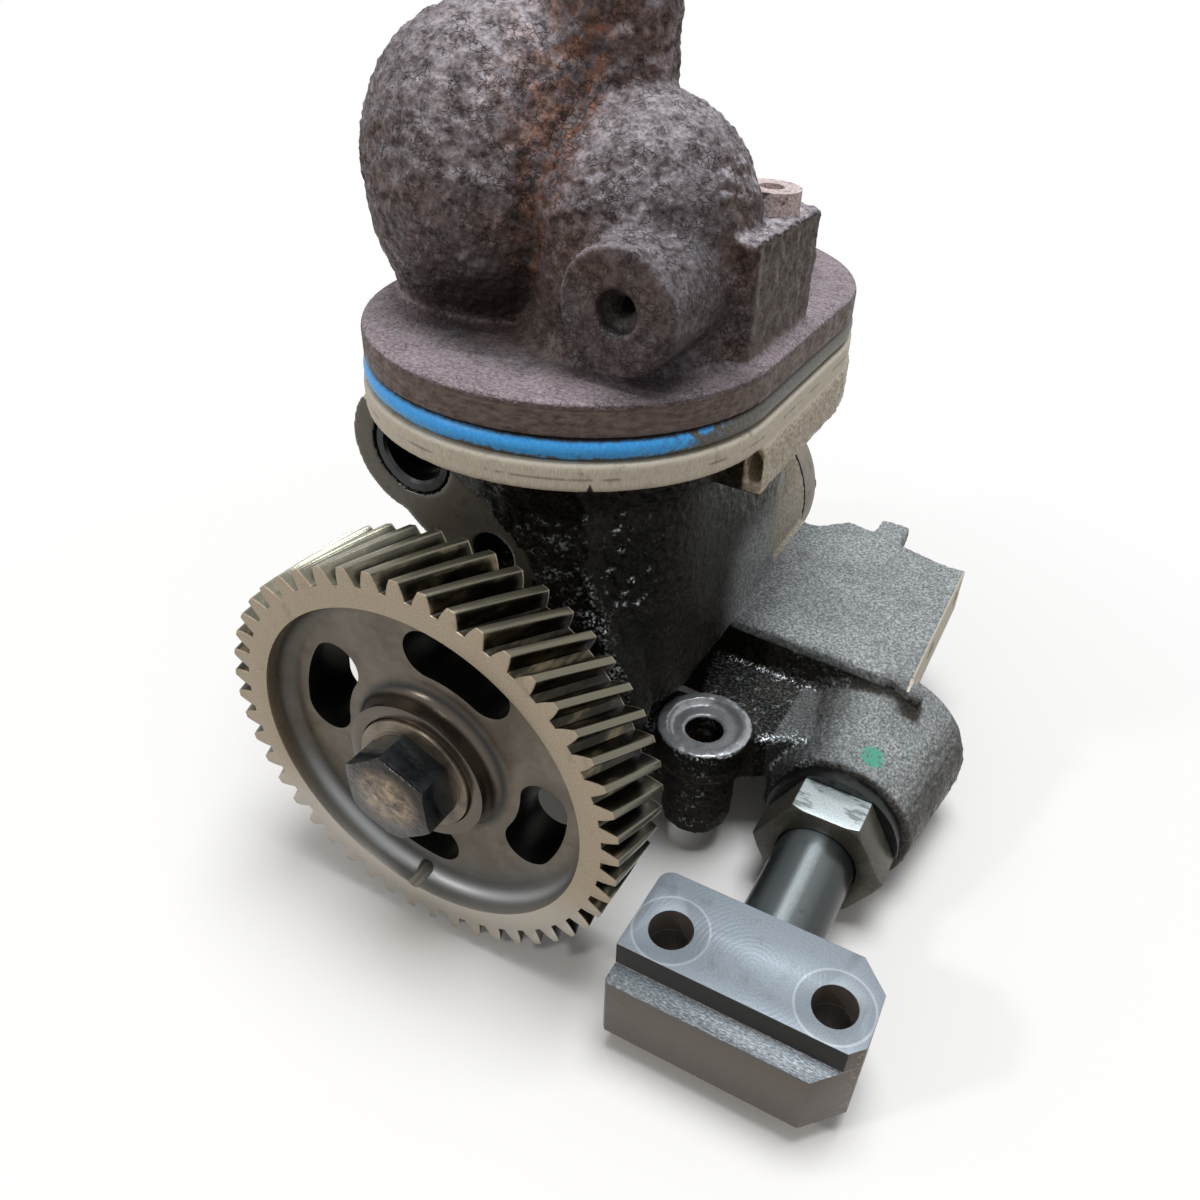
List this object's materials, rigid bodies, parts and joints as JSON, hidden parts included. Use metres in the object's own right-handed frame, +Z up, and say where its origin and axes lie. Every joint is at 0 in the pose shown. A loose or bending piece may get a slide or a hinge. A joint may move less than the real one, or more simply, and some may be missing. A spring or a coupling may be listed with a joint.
{
  "type": "engine oil pump",
  "caption": "Gear-driven oil pump: helical drive gear, cast housing, rusty two-lobed manifold on a slot-shaped flange, and a delivery tube that ends in a connector block.",
  "frame": {"origin": "on the drive axis, at the drive gear's front face", "axes": "+Y along the drive shaft from the gear towards the rear cover, +Z up through the manifold, +X towards the delivery tube"},
  "size_m": [0.2235, 0.2452, 0.273],
  "materials": {
    "oily_iron": "satin",
    "rusty_iron": "matt",
    "seal_blue": "satin",
    "rusty_screw": "matt",
    "gear_steel": "satin",
    "washer_steel": "satin",
    "black_bolt": "gloss",
    "shaft_steel": "satin",
    "bearing_bronze": "satin",
    "cover_iron": "matt",
    "gasket_fibre": "matt",
    "screw_steel": "satin",
    "union_steel": "satin",
    "nut_steel": "satin",
    "tube_steel": "satin",
    "block_steel": "satin",
    "ring_rubber": "satin"
  },
  "bodies": {
    "casing": {"pump_housing": "oily_iron", "top_manifold": "rusty_iron", "manifold_seal": "seal_blue", "manifold_screws": "rusty_screw", "thrust_washer": "bearing_bronze", "front_bushing": "bearing_bronze", "rear_bushing": "bearing_bronze", "cover_bushing": "bearing_bronze", "idler_shaft": "shaft_steel", "rear_cover": "cover_iron", "cover_gasket": "gasket_fibre", "cover_screws": "screw_steel", "cover_dowels": "shaft_steel", "locating_sleeve": "screw_steel", "delivery_union": "union_steel", "tube_ferrule": "nut_steel", "gland_nut": "nut_steel", "outlet_tube": "tube_steel", "connector_block": "block_steel", "block_ring": "ring_rubber", "relief_spring": "shaft_steel", "relief_plug": "screw_steel"},
    "drive": {"drive_gear": "gear_steel", "gear_washer": "washer_steel", "gear_bolt": "black_bolt", "drive_shaft": "shaft_steel", "gear_key": "shaft_steel", "pump_gear_key": "shaft_steel", "pump_drive_gear": "shaft_steel"},
    "driven": {"pump_driven_gear": "shaft_steel", "idler_bushing": "bearing_bronze"},
    "relief": {"relief_plunger": "shaft_steel"}
  },
  "joints": [
    {"name": "drive_spin", "type": "hinge", "parent": "casing", "child": "drive", "pos_m": [0, 0, 0], "axis": [0, 1, 0], "continuous": true},
    {"name": "driven_spin", "type": "hinge", "parent": "casing", "child": "driven", "pos_m": [-0.036, 0, 0], "axis": [0, 1, 0], "continuous": true},
    {"name": "relief_slide", "type": "slide", "parent": "casing", "child": "relief", "axis": [0, 0, -1], "range_m": [0, 0.008], "stiffness_N_per_m": 3000, "deforming": ["relief_spring"]}
  ],
  "couplings": [
    {"joint": "driven_spin", "follows": "drive_spin", "ratio": -1}
  ]
}
